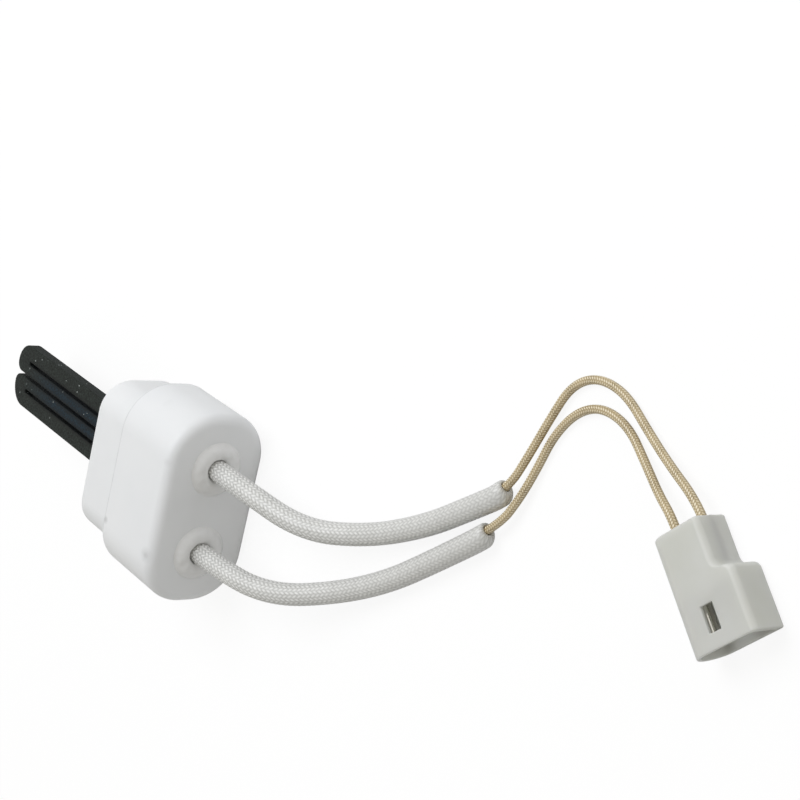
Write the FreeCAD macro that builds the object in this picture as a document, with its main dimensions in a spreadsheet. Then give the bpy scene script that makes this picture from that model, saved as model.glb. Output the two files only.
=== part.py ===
import FreeCAD, Part
import Sketcher
import math
import os

# Hot surface igniter lying on the far broad side of its ceramic block.
# +X runs from the tip of the element towards the leads, +Y along the long axis
# of the block and +Z up. The origin lies on the floor, under the middle of the
# block and element together. All sizes are in millimetres.

SIZES = [
    ("body_long", 48.0, "long axis of the body of the block"),
    ("body_thick", 26.5, "thickness of the body of the block"),
    ("body_depth", 23.0, "rear face to shoulder"),
    ("end_flat", 2.9, "straight length of the block's ends, between the corner curves"),
    ("body_edge", 2.0, "bevel of the rear edge"),
    ("body_edge_break", 0.6, "second bevel on both rims of the rear edge's bevel"),
    ("shoulder_edge", 0.8, "chamfer of the shoulder's outer edge"),
    ("step_end_inset", 4.4, "shoulder width at each end of the long axis"),
    ("step_side_inset", 1.5, "shoulder width at each broad side"),
    ("step_depth", 15.0, "shoulder to front face"),
    ("step_flat", 7.5, "straight length of the step's ends, between the corner curves"),
    ("step_edge", 1.0, "chamfer of the front edge"),
    ("element_reach", 62.0, "front face to tip of the element"),
    ("element_hold", 12.7, "length of the outer legs inside the block"),
    ("element_wide", 17.2, "width of the element across its four legs"),
    ("element_thick", 3.2, "thickness of the element"),
    ("inner_leg", 3.0, "width of each inner leg"),
    ("leg_slot", 0.9, "slot between an outer and an inner leg"),
    ("finger_gap", 0.9, "gap between the two inner legs"),
    ("tip_bridge", 6.5, "closed length at the tip of each finger"),
    ("base_bridge", 4.5, "closed length where the inner legs join"),
    ("base_clear", 5.0, "front face to the end of the inner legs"),
    ("finger_outer_round", 5.6, "outer corner radius of a finger tip"),
    ("finger_inner_round", 2.4, "inner corner radius of a finger tip"),
    ("slot_margin", 0.8, "cement around the element in its slot"),
    ("cement_depth", 8.0, "depth of the cement in the slot"),
    ("cement_rise", 0.6, "height of the cement above the front face"),
    ("lead_pitch", 21.3, "distance between the two lead exits"),
    ("sleeve_outer", 5.2, "outer diameter of a woven sleeve"),
    ("sleeve_bore", 3.6, "bore of a woven sleeve"),
    ("sleeve_hold", 10.0, "length of sleeve inside the block"),
    ("sleeve_play", 0.3, "radial clearance of the sleeve in its bore"),
    ("collar_outer", 13.0, "outer diameter of a raised collar"),
    ("collar_rise", 1.6, "height of a raised collar"),
    ("collar_slope", 1.2, "chamfer of a collar's outer edge"),
    ("lead_outer", 1.8, "diameter of a braided lead"),
    ("conductor_outer", 1.1, "diameter of the stranded conductor"),
    ("strand_straight", 3.0, "straight strands at the inner end of a lead"),
    ("strand_clear", 1.1, "straight strands behind the crimp barrel of a cap"),
    ("potting_hold", 12.5, "rear face to the inner end of a lead"),
    ("potting_long", 4.4, "length of the potting around a lead's end"),
    ("fit_play", 0.1, "clearance between small fitted pieces"),
    ("run_out", 1.0, "length of a cut beyond an open end"),
    ("cap_wall", 0.5, "wall of the metal cap on an outer leg"),
    ("cap_grip", 4.2, "length of leg inside the cap"),
    ("cap_floor", 1.0, "rear wall of the cap"),
    ("barrel_outer", 3.0, "outer diameter of the cap's crimp barrel"),
    ("barrel_long", 3.0, "length of the cap's crimp barrel"),
    ("barrel_shift", 1.1, "barrel axis outside the middle of the leg"),
    ("plug_x", 181.6, "middle of the plug's rear face on the floor, along X"),
    ("plug_y", 53.6, "middle of the plug's rear face on the floor, along Y"),
    ("plug_turn", 43.0, "turn of the plug about Z, from +X towards -Y"),
    ("plug_long", 22.8, "length of the plug housing"),
    ("plug_thick", 8.4, "thickness of the plug housing"),
    ("plug_flat", 5.3, "middle to the flat side of the rear body"),
    ("plug_round_middle", 3.6, "middle to the axis of the round side"),
    ("shroud_start", 10.0, "rear face of the plug to its wide shroud"),
    ("shroud_reach", 3.8, "width of the shroud beyond the flat side"),
    ("key_wall", 1.7, "thicker wall of the shroud's flat side"),
    ("shroud_blend", 1.6, "rounding where the shroud starts"),
    ("plug_edge", 0.9, "bevel of the plug's rear edges"),
    ("shroud_wall", 0.8, "wall of the shroud"),
    ("shroud_depth", 10.0, "depth of the shroud's mouth"),
    ("pin_pitch", 6.7, "distance between the two contact pins"),
    ("pin_outer", 2.36, "diameter of a contact pin"),
    ("pin_tip", 0.6, "chamfer of a pin's tip"),
    ("pin_set_back", 2.0, "mouth of the shroud to the pin tips"),
    ("pin_body", 2.7, "diameter of the contact's body in the housing"),
    ("pin_flange", 1.2, "length of the contact's stop flange"),
    ("crimp_outer", 2.5, "outer diameter of the contact's crimp barrel"),
    ("crimp_start", 3.0, "rear face of the plug to the crimp barrel"),
    ("crimp_long", 4.5, "length of the crimp barrel"),
    ("lead_align", 3.0, "length of lead in line with its bore, behind the plug"),
    ("lead_in_plug", 2.0, "length of braided lead inside the plug"),
    ("window_long", 5.0, "length of the latch window in the top of the shroud"),
    ("window_wide", 2.9, "width of the window"),
    ("window_set_back", 2.9, "mouth of the shroud to the window"),
]

# Route points of each lead outside the block, chosen by hand. The run that
# the sleeve ends on and the share of that run that it covers are below.
LEAD_ROUTES = {
    "upper": [
        (62.0, 10.65, 13.25), (80.5, 8.6, 8.8), (97.0, 14.3, 4.3), (112.5, 23.3, 2.75),
        (125.5, 33.4, 2.75), (134.0, 40.2, 2.75), (136.3, 48.8, 2.0), (138.1, 57.6, 1.3),
        (141.3, 65.6, 1.0), (147.4, 69.6, 1.0), (155.4, 69.3, 1.0), (163.6, 64.8, 1.4),
        (171.6, 61.5, 2.7),
    ],
    "lower": [
        (61.0, -10.65, 13.25), (77.0, -9.0, 10.2), (92.0, -1.7, 5.2), (105.5, 7.2, 2.8),
        (119.0, 18.7, 2.75), (134.2, 32.2, 2.75), (137.1, 39.6, 1.8), (138.5, 47.3, 1.2),
        (140.3, 54.8, 1.0), (144.7, 61.5, 1.0), (150.9, 64.7, 1.0), (158.4, 63.7, 1.0),
        (165.6, 59.0, 1.8), (171.8, 55.4, 3.1),
    ],
}
SLEEVE_RUN = {"upper": 5, "lower": 5}
SLEEVE_SHARE = {"upper": 0.78, "lower": 0.83}
SIDES = {"upper": 1.0, "lower": -1.0}
CORD_SIDES = 8

doc = FreeCAD.newDocument("igniter")
sheet = doc.addObject("Spreadsheet::Sheet", "sizes")
for row, (alias, number, meaning) in enumerate(SIZES, start=1):
    sheet.set(f"A{row}", meaning)
    sheet.set(f"B{row}", str(number))
    sheet.setAlias(f"B{row}", alias)
doc.recompute()


def size(alias):
    return float(sheet.get(alias))


def bind(item, prop, expression):
    """Bind a property to the sheet. Sizes are written as {name}."""
    item.setExpression(prop, expression.replace("{", "sizes.").replace("}", ""))


def worth(expression):
    """The number that an expression comes to."""
    return float(sheet.evalExpression(expression.replace("{", "").replace("}", "")))


def new_body(label):
    body = doc.addObject("PartDesign::Body", label)
    body.Label = label
    return body


def place(item, x, y, z):
    bind(item, "Placement.Base.x", x)
    bind(item, "Placement.Base.y", y)
    bind(item, "Placement.Base.z", z)


def new_sketch(body, name, plane, offset=None):
    """A sketch on one of the body's own origin planes, moved along its normal."""
    sketch = body.newObject("Sketcher::SketchObject", name)
    for feature in body.Origin.OriginFeatures:
        if feature.Role == plane:
            sketch.AttachmentSupport = [(feature, "")]
    sketch.MapMode = "FlatFace"
    if offset:
        bind(sketch, "AttachmentOffset.Base.z", offset)
    return sketch


def dimension(sketch, kind, places, name, expression, start):
    """A driving constraint of a sketch, bound to the sheet."""
    index = sketch.addConstraint(Sketcher.Constraint(kind, *places, start))
    sketch.renameConstraint(index, name)
    bind(sketch, f"Constraints.{name}", expression)


def rectangle(sketch, name, left, right, bottom, top):
    """A rectangle whose four sides stand at signed distances from the origin."""
    corners = [(-7, -5), (9, -5), (9, 6), (-7, 6)]
    first = sketch.GeometryCount
    for a, b in zip(corners, corners[1:] + corners[:1]):
        sketch.addGeometry(Part.LineSegment(FreeCAD.Vector(*a, 0), FreeCAD.Vector(*b, 0)), False)
    for k in range(4):
        sketch.addConstraint(Sketcher.Constraint("Coincident", first + k, 2, first + (k + 1) % 4, 1))
        sketch.addConstraint(Sketcher.Constraint(("Horizontal", "Vertical")[k % 2], first + k))
    dimension(sketch, "DistanceX", (-1, 1, first, 1), name + "_left", left, -7.0)
    dimension(sketch, "DistanceX", (-1, 1, first + 1, 1), name + "_right", right, 9.0)
    dimension(sketch, "DistanceY", (-1, 1, first, 1), name + "_bottom", bottom, -5.0)
    dimension(sketch, "DistanceY", (-1, 1, first + 2, 1), name + "_top", top, 6.0)


def rounded_rectangle(sketch, wide, tall, radius):
    """A centred rectangle with four equal rounded corners."""
    a, b, r = 20.0, 12.0, 5.0
    point = FreeCAD.Vector
    for p, q in [((r - a, b), (a - r, b)), ((a, b - r), (a, r - b)),
                 ((a - r, -b), (r - a, -b)), ((-a, r - b), (-a, b - r))]:
        sketch.addGeometry(Part.LineSegment(point(*p, 0), point(*q, 0)), False)
    for k, (cx, cy) in enumerate([(a - r, b - r), (a - r, r - b), (r - a, r - b), (r - a, b - r)]):
        circle = Part.Circle(point(cx, cy, 0), point(0, 0, 1), r)
        start = math.pi / 2 * (0, 3, 2, 1)[k]
        sketch.addGeometry(Part.ArcOfCircle(circle, start, start + math.pi / 2), False)
    for k in range(4):
        arc = 4 + k
        sketch.addConstraint(Sketcher.Constraint("Tangent", k, 2, arc, 2))
        sketch.addConstraint(Sketcher.Constraint("Tangent", arc, 1, (k + 1) % 4, 1))
        if k:
            sketch.addConstraint(Sketcher.Constraint("Equal", 4, arc))
    for k, way in enumerate(("Horizontal", "Vertical", "Horizontal", "Vertical")):
        sketch.addConstraint(Sketcher.Constraint(way, k))
    sketch.addConstraint(Sketcher.Constraint("Symmetric", 4, 3, 6, 3, -1, 1))
    dimension(sketch, "DistanceX", (3, 1, 1, 1), "wide", wide, 2 * a)
    dimension(sketch, "DistanceY", (2, 1, 0, 1), "tall", tall, 2 * b)
    dimension(sketch, "Radius", (4,), "corner", radius, r)


def circle(sketch, name, radius, across=None):
    """A circle at a signed distance along the sketch's first axis, or on the origin."""
    centre = FreeCAD.Vector(4.0 if across else 0, 0, 0)
    index = sketch.addGeometry(Part.Circle(centre, FreeCAD.Vector(0, 0, 1), 2.0), False)
    if across:
        sketch.addConstraint(Sketcher.Constraint("PointOnObject", index, 3, -1))
        dimension(sketch, "DistanceX", (-1, 1, index, 3), name + "_across", across, 4.0)
    else:
        sketch.addConstraint(Sketcher.Constraint("Coincident", index, 3, -1, 1))
    dimension(sketch, "Radius", (index,), name + "_radius", radius, 2.0)


def pad(body, name, sketch, length, backwards=False, both=False):
    feature = body.newObject("PartDesign::Pad", name)
    feature.Profile = sketch
    feature.Reversed = backwards
    feature.Midplane = both
    bind(feature, "Length", length)
    return feature


def pocket(body, name, sketch, length=None, backwards=False, both=False):
    """A pocket that has to take something away."""
    doc.recompute()
    before = body.Shape.Volume
    feature = body.newObject("PartDesign::Pocket", name)
    feature.Profile = sketch
    feature.Reversed = backwards
    feature.Midplane = both
    if length:
        bind(feature, "Length", length)
    else:
        feature.Type = "ThroughAll"
    doc.recompute()
    if body.Shape.Volume > before - 0.01:
        raise RuntimeError(f"{name} cuts nothing")
    return feature


def round_pad(body, name, start, length, radius, across=None):
    """A cylinder along the body's X axis from one station."""
    outline = new_sketch(body, name + "_circle", "YZ_Plane", start)
    circle(outline, name, radius, across)
    return pad(body, name, outline, length)


def round_pocket(body, name, start, length, radius, across=None):
    """A round hole along the body's X axis back from one station."""
    outline = new_sketch(body, name + "_circle", "YZ_Plane", start)
    circle(outline, name, radius, across)
    return pocket(body, name, outline, length)


def round_recess(body, name, length, radius):
    """A round hole that runs forward from the body's own origin."""
    outline = new_sketch(body, name + "_circle", "YZ_Plane")
    circle(outline, name, radius)
    return pocket(body, name, outline, length, backwards=True)


def finish_edges(body, kind, name, amount, wanted):
    """A Fillet or Chamfer on the edges of the body's tip that the test picks out."""
    doc.recompute()
    tip = body.Tip
    names = [f"Edge{k}" for k, edge in enumerate(tip.Shape.Edges, start=1) if wanted(edge)]
    if not names:
        raise RuntimeError(f"{name} finds no edge")
    feature = body.newObject("PartDesign::" + kind, name)
    feature.Base = (tip, names)
    bind(feature, {"Fillet": "Radius", "Chamfer": "Size"}[kind], amount)
    doc.recompute()
    return feature


def edge_lies_at(edge, axis, level):
    """True where all of an edge lies at one level of an axis, 0 for X to 2 for Z."""
    box = edge.BoundBox
    low = (box.XMin, box.YMin, box.ZMin)[axis]
    high = (box.XMax, box.YMax, box.ZMax)[axis]
    return abs(low - level) < 0.01 and abs(high - level) < 0.01


# The rear face stands so that the block, collars and element are centred on X.
REAR_X = ("(({body_depth} + {step_depth} + {element_reach} + {collar_rise}) / 2"
          " - {collar_rise})")
FRONT_X = f"({REAR_X} - {{body_depth}} - {{step_depth}})"
MIDDLE_Z = "{body_thick} / 2"
OUTER_LEG = "(({element_wide} - {finger_gap}) / 2 - {inner_leg} - {leg_slot})"
LEG_MIDDLE = f"({{element_wide}} / 2 - {OUTER_LEG} / 2)"
BARREL_Y = f"({LEG_MIDDLE} + {{barrel_shift}})"
EXIT_Y = "({lead_pitch} / 2)"
BORE_RADIUS = "({sleeve_outer} / 2 + {sleeve_play})"

# The strands leave the cap along X, slant outwards and enter the lead along X.
BARREL_X = f"({FRONT_X} + {{element_hold}} + {{fit_play}} + {{cap_floor}})"
SLANT_START = f"({BARREL_X} + {{barrel_long}} + {{strand_clear}})"
SLANT_END = f"({REAR_X} - {{potting_hold}} - {{strand_straight}})"

# The slot ends where the slant stands midway between the slot's outer side and
# the inner side of the bore.
CROSSING_Y = f"(({EXIT_Y} - {BORE_RADIUS} + {{element_wide}} / 2 + {{slot_margin}}) / 2)"
SLOT_END = (f"({SLANT_START} + ({SLANT_END} - {SLANT_START})"
            f" * ({CROSSING_Y} - {BARREL_Y}) / ({EXIT_Y} - {BARREL_Y}))")


def build_block():
    """Pressed steatite: body, step through the mounting hole, slot and two bores."""
    body = new_body("ceramic_block")
    place(body, REAR_X, "0", MIDDLE_Z)
    outline = new_sketch(body, "body_outline", "YZ_Plane")
    rounded_rectangle(outline, "{body_long}", "{body_thick}", "({body_thick} - {end_flat}) / 2")
    pad(body, "body_pad", outline, "{body_depth}", backwards=True)
    outline = new_sketch(body, "step_outline", "YZ_Plane", "-{body_depth}")
    step_tall = "({body_thick} - 2 * {step_side_inset})"
    rounded_rectangle(outline, "{body_long} - 2 * {step_end_inset}", step_tall,
                      f"({step_tall} - {{step_flat}}) / 2")
    pad(body, "step_pad", outline, "{step_depth}", backwards=True)
    shoulder = -size("body_depth")
    front = shoulder - size("step_depth")
    finish_edges(body, "Chamfer", "rear_bevel", "{body_edge}", lambda e: edge_lies_at(e, 0, 0))
    rims = (0, -size("body_edge"))
    finish_edges(body, "Chamfer", "rear_break", "{body_edge_break}",
                 lambda e: edge_lies_at(e, 0, rims[0]) or edge_lies_at(e, 0, rims[1]))
    half_step = size("body_long") / 2 - size("step_end_inset")
    half_side = size("body_thick") / 2 - size("step_side_inset")

    def outside_step(edge):
        spot = edge.CenterOfMass
        beyond = abs(spot.y) > half_step + 0.1 or abs(spot.z) > half_side + 0.1
        return edge_lies_at(edge, 0, shoulder) and beyond

    finish_edges(body, "Chamfer", "shoulder_bevel", "{shoulder_edge}", outside_step)
    finish_edges(body, "Chamfer", "front_bevel", "{step_edge}", lambda e: edge_lies_at(e, 0, front))
    slot = new_sketch(body, "element_slot", "YZ_Plane", "-{body_depth} - {step_depth}")
    rectangle(slot, "slot", "-{element_wide} / 2 - {slot_margin}", "{element_wide} / 2 + {slot_margin}",
              "-{element_thick} / 2 - {slot_margin}", "{element_thick} / 2 + {slot_margin}")
    pocket(body, "slot_pocket", slot, f"{SLOT_END} - {FRONT_X}", backwards=True)
    for side, sign in SIDES.items():
        round_pocket(body, side + "_sleeve_bore", None, f"{REAR_X} - {SLOT_END}", BORE_RADIUS,
                     f"{sign} * {EXIT_Y}")
    return body


def build_element():
    """One slab of silicon carbide, slotted into two fingers of two legs each."""
    body = new_body("silicon_carbide_element")
    place(body, FRONT_X, "0", MIDDLE_Z)
    slab = new_sketch(body, "slab_outline", "XY_Plane")
    rectangle(slab, "slab", "-{element_reach}", "{element_hold}",
              "-{element_wide} / 2", "{element_wide} / 2")
    pad(body, "slab_pad", slab, "{element_thick}", both=True)
    gap = new_sketch(body, "gap_outline", "XY_Plane")
    rectangle(gap, "gap", "-{element_reach} - {run_out}", "-{base_clear} - {base_bridge}",
              "-{finger_gap} / 2", "{finger_gap} / 2")
    pocket(body, "gap_pocket", gap, both=True)
    inner = "({finger_gap} / 2 + {inner_leg})"
    for k, side in enumerate(("lower", "upper")):
        slot = new_sketch(body, side + "_slot_outline", "XY_Plane")
        low = (f"-{inner} - {{leg_slot}}", inner)[k]
        high = (f"-{inner}", f"{inner} + {{leg_slot}}")[k]
        rectangle(slot, "slot", "-{element_reach} + {tip_bridge}", "{element_hold} + {run_out}",
                  low, high)
        pocket(body, side + "_slot_pocket", slot, both=True)
    base = new_sketch(body, "base_outline", "XY_Plane")
    rectangle(base, "base", "-{base_clear}", "{element_hold} + {run_out} * 2",
              f"-{inner} - {{leg_slot}} / 2", f"{inner} + {{leg_slot}} / 2")
    pocket(body, "base_pocket", base, both=True)
    tip = -size("element_reach")

    def tip_corner(across):
        def wanted(edge):
            spot = edge.CenterOfMass
            upright = edge_lies_at(edge, 0, tip) and edge.Length < size("element_thick") + 0.01
            return upright and abs(abs(spot.y) - across) < 0.01
        return wanted

    finish_edges(body, "Fillet", "outer_tip_rounding", "{finger_outer_round}",
                 tip_corner(size("element_wide") / 2))
    finish_edges(body, "Fillet", "inner_tip_rounding", "{finger_inner_round}",
                 tip_corner(size("finger_gap") / 2))
    return body


def build_front_cement():
    """Cement that holds the two outer legs in the slot, level all round."""
    body = new_body("front_cement")
    place(body, FRONT_X, "0", MIDDLE_Z)
    outline = new_sketch(body, "cement_outline", "YZ_Plane", "-{cement_rise}")
    rectangle(outline, "cement", "-{element_wide} / 2 - {slot_margin} + {fit_play}",
              "{element_wide} / 2 + {slot_margin} - {fit_play}",
              "-{element_thick} / 2 - {slot_margin} + {fit_play}",
              "{element_thick} / 2 + {slot_margin} - {fit_play}")
    pad(body, "cement_pad", outline, "{cement_depth} + {cement_rise}")
    for side, sign in SIDES.items():
        hole = new_sketch(body, side + "_leg_hole", "YZ_Plane", "-{cement_rise}")
        reach = f"{sign} * {LEG_MIDDLE}"
        half = f"({OUTER_LEG} / 2 + {{fit_play}})"
        rectangle(hole, "leg", f"{reach} - {half}", f"{reach} + {half}",
                  "-{element_thick} / 2 - {fit_play}", "{element_thick} / 2 + {fit_play}")
        pocket(body, side + "_leg_pocket", hole, backwards=True)
    return body


def build_collar(side):
    """Raised ring with a rounded crown around a sleeve, on the rear face."""
    body = new_body(f"collar_{side}")
    place(body, REAR_X, f"{SIDES[side]} * {EXIT_Y}", MIDDLE_Z)
    round_pad(body, "ring", None, "{collar_rise}", "{collar_outer} / 2")
    finish_edges(body, "Chamfer", "crown", "{collar_slope}",
                 lambda e: edge_lies_at(e, 0, size("collar_rise")))
    round_recess(body, "mouth", "{collar_rise}", BORE_RADIUS)
    return body


def build_potting(side):
    """Potting that fills the bore around the inner end of a lead."""
    body = new_body(f"potting_{side}")
    place(body, f"{REAR_X} - {{sleeve_hold}} - {{potting_long}} - {{fit_play}}",
          f"{SIDES[side]} * {EXIT_Y}", MIDDLE_Z)
    round_pad(body, "filling", None, "{potting_long}", f"{BORE_RADIUS} - {{fit_play}}")
    round_recess(body, "lead_hole", "{potting_long}", "{lead_outer} / 2 + {fit_play}")
    return body


def build_end_cap(side):
    """Metal cap on the end of an outer leg, with a crimp barrel for the strands."""
    body = new_body(f"end_cap_{side}")
    sign = SIDES[side]
    place(body, f"{FRONT_X} + {{element_hold}} - {{cap_grip}}", f"{sign} * {LEG_MIDDLE}", MIDDLE_Z)
    half_wide = f"({OUTER_LEG} / 2 + {{fit_play}})"
    half_tall = "({element_thick} / 2 + {fit_play})"
    shell = new_sketch(body, "shell_outline", "YZ_Plane")
    rectangle(shell, "shell", f"-{half_wide} - {{cap_wall}}", f"{half_wide} + {{cap_wall}}",
              f"-{half_tall} - {{cap_wall}}", f"{half_tall} + {{cap_wall}}")
    pad(body, "shell_pad", shell, "{cap_grip} + {fit_play} + {cap_floor}")
    leg = new_sketch(body, "leg_outline", "YZ_Plane")
    rectangle(leg, "leg", f"-{half_wide}", half_wide, f"-{half_tall}", half_tall)
    pocket(body, "leg_pocket", leg, "{cap_grip} + {fit_play}", backwards=True)
    floor = "{cap_grip} + {fit_play} + {cap_floor}"
    shift = f"{sign} * {{barrel_shift}}"
    round_pad(body, "barrel", floor, "{barrel_long}", "{barrel_outer} / 2", shift)
    round_pocket(body, "strand_hole", floor + " + {barrel_long}", "{barrel_long} - {fit_play}",
                 "{conductor_outer} / 2 + {fit_play}", shift)
    return body


def housing_outline(sketch, flat, middle, bottom, top):
    """An outline with one flat side and one half-round side."""
    point = FreeCAD.Vector
    spots = [point(-4, 1, 0), point(6, 1, 0), point(6, 9, 0), point(-4, 9, 0)]
    for a, b in zip(spots, spots[1:]):
        sketch.addGeometry(Part.LineSegment(a, b), False)
    round_side = Part.Circle(point(-4, 5, 0), point(0, 0, 1), 4)
    sketch.addGeometry(Part.ArcOfCircle(round_side, math.pi / 2, 3 * math.pi / 2), False)
    sketch.addConstraint(Sketcher.Constraint("Coincident", 0, 2, 1, 1))
    sketch.addConstraint(Sketcher.Constraint("Coincident", 1, 2, 2, 1))
    sketch.addConstraint(Sketcher.Constraint("Tangent", 2, 2, 3, 1))
    sketch.addConstraint(Sketcher.Constraint("Tangent", 3, 2, 0, 1))
    sketch.addConstraint(Sketcher.Constraint("Horizontal", 0))
    sketch.addConstraint(Sketcher.Constraint("Vertical", 1))
    sketch.addConstraint(Sketcher.Constraint("Horizontal", 2))
    dimension(sketch, "DistanceX", (-1, 1, 1, 1), "flat", flat, 6.0)
    dimension(sketch, "DistanceX", (-1, 1, 3, 3), "middle", middle, -4.0)
    dimension(sketch, "DistanceY", (-1, 1, 1, 1), "bottom", bottom, 1.0)
    dimension(sketch, "DistanceY", (-1, 1, 1, 2), "top", top, 9.0)


def build_plug_housing():
    """Moulded plug: rear body with two bores, wide keyed shroud and a window."""
    body = new_body("plug_housing")
    place(body, "{plug_x}", "{plug_y}", "{plug_thick} / 2")
    bind(body, "Placement.Rotation.Angle", "-{plug_turn}")
    half = "{plug_thick} / 2"
    outline = new_sketch(body, "housing_outline", "YZ_Plane")
    housing_outline(outline, "{plug_flat}", "-{plug_round_middle}", f"-{half}", half)
    pad(body, "housing_pad", outline, "{plug_long}")
    wide = new_sketch(body, "shroud_outline", "YZ_Plane", "{shroud_start}")
    housing_outline(wide, "{plug_flat} + {shroud_reach}", "-{plug_round_middle}", f"-{half}", half)
    pad(body, "shroud_pad", wide, "{plug_long} - {shroud_start}")
    start = size("shroud_start")
    flat = size("plug_flat")

    def shroud_corner(edge):
        upright = edge_lies_at(edge, 0, start) and edge.BoundBox.ZLength > size("plug_thick") - 0.1
        return upright and edge.CenterOfMass.y > flat - 0.01

    finish_edges(body, "Fillet", "shroud_rounding", "{shroud_blend}", shroud_corner)
    finish_edges(body, "Chamfer", "rear_edges", "{plug_edge}", lambda e: edge_lies_at(e, 0, 0))
    mouth = new_sketch(body, "mouth_outline", "YZ_Plane", "{plug_long}")
    housing_outline(mouth, "{plug_flat} + {shroud_reach} - {key_wall}", "-{plug_round_middle}",
                    f"-{half} + {{shroud_wall}}", f"{half} - {{shroud_wall}}")
    pocket(body, "mouth_pocket", mouth, "{shroud_depth}")
    for side, sign in SIDES.items():
        round_pocket(body, side + "_bore", "{plug_long} - {shroud_depth}",
                     "{plug_long} - {shroud_depth}", "{pin_body} / 2 + {fit_play}",
                     f"{sign} * {{pin_pitch}} / 2")
    window = new_sketch(body, "window_outline", "XY_Plane", half)
    near = "{plug_long} - {window_set_back}"
    centre = "({plug_flat} + {shroud_reach} - {plug_round_middle} - {plug_thick} / 2) / 2"
    rectangle(window, "window", f"{near} - {{window_long}}", near,
              f"{centre} - {{window_wide}} / 2", f"{centre} + {{window_wide}} / 2")
    pocket(body, "window_pocket", window, "{shroud_wall}")
    return body


def in_plug(item, along, across):
    """Place an item at a station and an offset of the plug's own axes."""
    turn = "{plug_turn}"
    place(item, f"{{plug_x}} + ({along}) * cos({turn}) + ({across}) * sin({turn})",
          f"{{plug_y}} - ({along}) * sin({turn}) + ({across}) * cos({turn})", "{plug_thick} / 2")
    bind(item, "Placement.Rotation.Angle", f"-{turn}")


def build_contact_pin(side):
    """Turned pin with a stop flange, a round body and a crimp barrel."""
    body = new_body(f"contact_pin_{side}")
    in_plug(body, "{crimp_start}", f"{SIDES[side]} * {{pin_pitch}} / 2")
    seat = "{plug_long} - {shroud_depth} - {crimp_start}"
    tip = "{plug_long} - {pin_set_back} - {crimp_start}"
    round_pad(body, "crimp", None, "{crimp_long}", "{crimp_outer} / 2")
    round_pad(body, "shank", "{crimp_long}", f"{seat} - {{crimp_long}}", "{pin_outer} / 2")
    round_pad(body, "flange", f"{seat} - {{pin_flange}}", "{pin_flange}", "{pin_body} / 2")
    round_pad(body, "pin", seat, f"{tip} - ({seat})", "{pin_outer} / 2")
    finish_edges(body, "Chamfer", "tip_bevel", "{pin_tip}", lambda e: edge_lies_at(e, 0, worth(tip)))
    round_recess(body, "strand_hole", "{crimp_long} - {cap_floor}",
                 "{conductor_outer} / 2 + {fit_play}")
    return body


def route_edges(points):
    """Straight runs joined by tangent arcs, and the radius of each arc."""
    spots = [FreeCAD.Vector(*p) for p in points]
    edges, radii = [], []
    start = spots[0]
    for before, corner, after in zip(spots, spots[1:], spots[2:]):
        come = corner - before
        leave = after - corner
        half = come.getAngle(leave) / 2
        radius = 0.45 * min(come.Length, leave.Length) / math.tan(half)
        cut = radius * math.tan(half)
        enter = corner - come.normalize() * cut
        exit_spot = corner + leave.normalize() * cut
        inward = (enter + exit_spot) / 2 - corner
        centre = corner + inward.normalize() * (radius / math.cos(half))
        middle = centre + (corner - centre).normalize() * radius
        edges.append(Part.LineSegment(start, enter).toShape())
        edges.append(Part.Arc(enter, middle, exit_spot).toShape())
        radii.append(radius)
        start = exit_spot
    edges.append(Part.LineSegment(start, spots[-1]).toShape())
    return edges, radii


def tube(label, edges, outer, bore=0.0):
    """A plain cord of many flat sides along a path, hollow where it has a bore."""
    wire = Part.Wire(edges)
    begin = edges[0].valueAt(edges[0].FirstParameter)
    heading = edges[0].tangentAt(edges[0].FirstParameter)

    def swept(diameter):
        rim = Part.makeCircle(diameter / 2, begin, heading).discretize(Number=CORD_SIDES + 1)
        return wire.makePipeShell([Part.makePolygon(rim)], True, False)

    def section(diameter):
        return CORD_SIDES * math.sin(2 * math.pi / CORD_SIDES) * diameter ** 2 / 8

    shape = swept(outer)
    if bore:
        shape = shape.cut(swept(bore))
    if len(shape.Solids) == 1:
        shape = shape.Solids[0]
    if abs(shape.Volume / ((section(outer) - section(bore)) * wire.Length) - 1) > 0.02:
        raise RuntimeError(f"{label} has the wrong volume")
    item = doc.addObject("Part::Feature", label)
    item.Label = label
    item.Shape = shape
    item.Placement = FreeCAD.Placement()
    print(f"{label}: {wire.Length:.1f} mm long")
    return item


def in_plug_frame(along, across):
    """A point at a station and an offset of the plug's own axes."""
    turn = math.radians(size("plug_turn"))
    return (size("plug_x") + along * math.cos(turn) + across * math.sin(turn),
            size("plug_y") - along * math.sin(turn) + across * math.cos(turn),
            size("plug_thick") / 2)


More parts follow.
